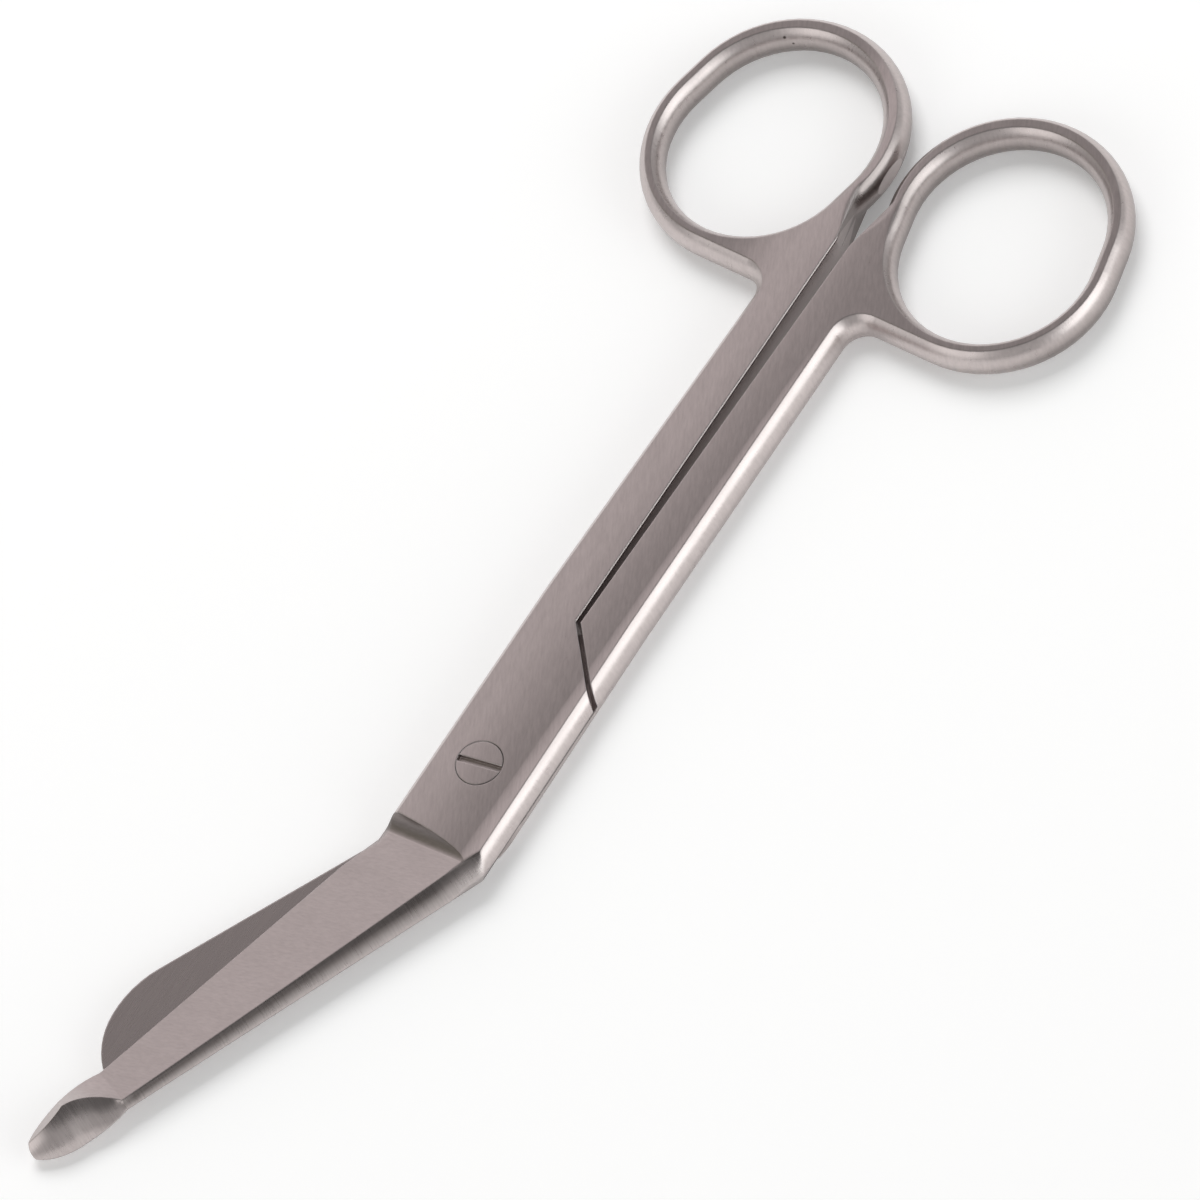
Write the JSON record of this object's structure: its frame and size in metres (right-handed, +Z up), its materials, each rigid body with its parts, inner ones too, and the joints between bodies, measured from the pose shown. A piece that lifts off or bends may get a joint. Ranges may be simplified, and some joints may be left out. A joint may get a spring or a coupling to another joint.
{
  "type": "bandage scissors",
  "caption": "Angled bandage scissors with finger rings, a slotted pivot screw, a long blade ending in a blunt oval probe and a shorter round-nosed blade.",
  "frame": {"origin": "on the pivot axis, in the plane of the underside that it lies on", "axes": "+X along the handles towards the blade tips, +Y towards the finger ring of the half that holds the screw, +Z up, along the pivot axis towards the screw head"},
  "size_m": [0.1448, 0.055, 0.0042],
  "materials": {
    "satin_steel": "satin ground stainless steel",
    "screw_steel": "satin ground stainless steel"
  },
  "bodies": {
    "lower_half": {"round_blade_half": "satin_steel", "pivot_screw": "screw_steel"},
    "upper_half": {"probe_blade_half": "satin_steel"}
  },
  "joints": [
    {"name": "pivot", "type": "hinge", "parent": "lower_half", "child": "upper_half", "pos_m": [0, 0, 0], "axis": [0, 0, 1], "range_deg": [-1, 110]}
  ]
}
